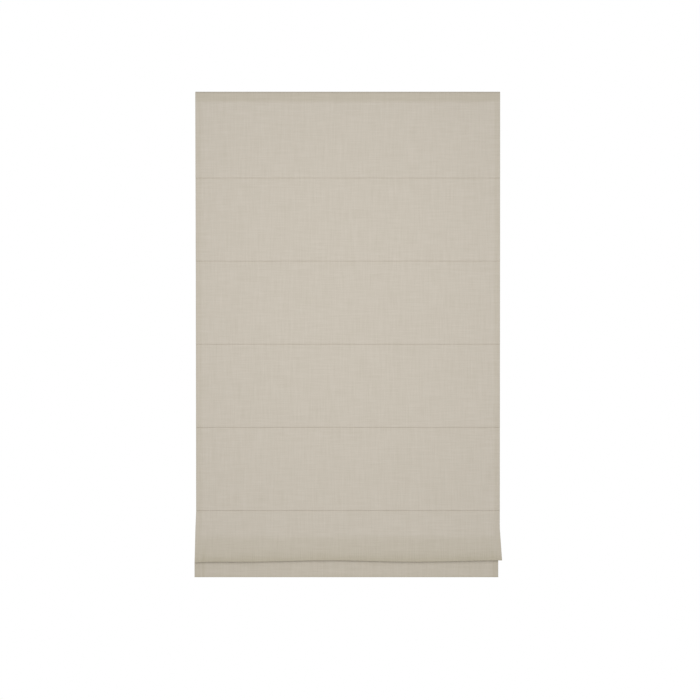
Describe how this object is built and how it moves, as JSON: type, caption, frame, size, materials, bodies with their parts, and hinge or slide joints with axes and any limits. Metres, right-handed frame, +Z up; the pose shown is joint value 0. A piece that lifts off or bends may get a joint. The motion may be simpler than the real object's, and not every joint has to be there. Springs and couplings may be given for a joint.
{
  "type": "roman blind",
  "caption": "Cordless roman blind in woven beige cloth with sewn rod tucks and a folded bottom panel, hung from a slim head rail on turn-lock brackets.",
  "frame": {"origin": "on the wall, midway between the screw holes of the two brackets", "axes": "+X along the head rail, +Y into the wall, +Z up; the room side of the cloth faces -Y"},
  "size_m": [1, 0.0434, 1.595],
  "materials": {
    "cloth": "matte",
    "tape": "matte",
    "cord": "matte",
    "rail": "satin",
    "bar": "satin",
    "white_plastic": "satin",
    "rod": "satin",
    "clear_plastic": "gloss",
    "zinc": "satin",
    "spring_steel": "satin",
    "shaft_steel": "satin"
  },
  "bodies": {
    "head": {"head_rail": "rail", "end_cap_left": "white_plastic", "end_cap_right": "white_plastic", "hook_tape": "tape", "loop_tape": "tape", "face_cloth": "cloth", "bracket_left": "zinc", "bracket_right": "zinc", "bracket_rivets": "zinc", "cradle_left": "white_plastic", "cradle_centre": "white_plastic", "cradle_right": "white_plastic", "motor_housing": "white_plastic", "motor_cover": "white_plastic", "motor_spring": "spring_steel", "brake_housing": "white_plastic", "brake_cover": "white_plastic", "brake_spring": "spring_steel", "lift_cord_left": "cord", "lift_cord_centre": "cord", "lift_cord_right": "cord"},
    "latch_left": {"latch_left": "white_plastic"},
    "latch_right": {"latch_right": "white_plastic"},
    "shaft": {"lift_shaft": "shaft_steel", "spool_left": "white_plastic", "spool_centre": "white_plastic", "spool_right": "white_plastic", "motor_hub": "white_plastic", "brake_hub": "white_plastic", "shaft_collars": "white_plastic"},
    "batten_1": {"rod_1": "rod", "rod_caps_1": "white_plastic", "rings_1": "clear_plastic"},
    "batten_2": {"rod_2": "rod", "rod_caps_2": "white_plastic", "rings_2": "clear_plastic"},
    "batten_3": {"rod_3": "rod", "rod_caps_3": "white_plastic", "rings_3": "clear_plastic"},
    "batten_4": {"rod_4": "rod", "rod_caps_4": "white_plastic", "rings_4": "clear_plastic"},
    "batten_5": {"rod_5": "rod", "rod_caps_5": "white_plastic", "rings_5": "clear_plastic"},
    "batten_6": {"rod_6": "rod", "rod_caps_6": "white_plastic", "rings_6": "clear_plastic", "bottom_bar": "bar", "bottom_bar_caps": "white_plastic", "cord_beads": "white_plastic"}
  },
  "joints": [
    {"name": "lift_1", "type": "slide", "parent": "head", "child": "batten_1", "axis": [0, 0, 1], "range_m": [0, 0.236], "deforming": ["face_cloth", "lift_cord_left", "lift_cord_centre", "lift_cord_right"]},
    {"name": "lift_2", "type": "slide", "parent": "batten_1", "child": "batten_2", "axis": [0, 0, 1], "range_m": [0, 0.2481]},
    {"name": "lift_3", "type": "slide", "parent": "batten_2", "child": "batten_3", "axis": [0, 0, 1], "range_m": [0, 0.2481]},
    {"name": "lift_4", "type": "slide", "parent": "batten_3", "child": "batten_4", "axis": [0, 0, 1], "range_m": [0, 0.2481]},
    {"name": "lift_5", "type": "slide", "parent": "batten_4", "child": "batten_5", "axis": [0, 0, 1], "range_m": [0, 0.2481]},
    {"name": "bottom_fold", "type": "slide", "parent": "batten_5", "child": "batten_6", "axis": [0, 0, 1], "range_m": [-0.205, 0.043], "deforming": ["face_cloth", "lift_cord_left", "lift_cord_centre", "lift_cord_right"]},
    {"name": "shaft_turn", "type": "hinge", "parent": "head", "child": "shaft", "pos_m": [0, -0.019, -0.0066], "axis": [-1, 0, 0], "range_deg": [0, 8279.6]},
    {"name": "latch_turn_left", "type": "hinge", "parent": "head", "child": "latch_left", "pos_m": [-0.4, -0.023, 0], "axis": [0, 0, -1], "range_deg": [0, 90]},
    {"name": "latch_turn_right", "type": "hinge", "parent": "head", "child": "latch_right", "pos_m": [0.4, -0.023, 0], "axis": [0, 0, -1], "range_deg": [0, 90]}
  ],
  "couplings": [
    {"joint": "lift_2", "follows": "lift_1", "ratio": 1.0508},
    {"joint": "lift_3", "follows": "lift_1", "ratio": 1.0508},
    {"joint": "lift_4", "follows": "lift_1", "ratio": 1.0508},
    {"joint": "lift_5", "follows": "lift_1", "ratio": 1.0508},
    {"joint": "shaft_turn", "follows": "lift_1", "rad_per_m": 612.16}
  ]
}
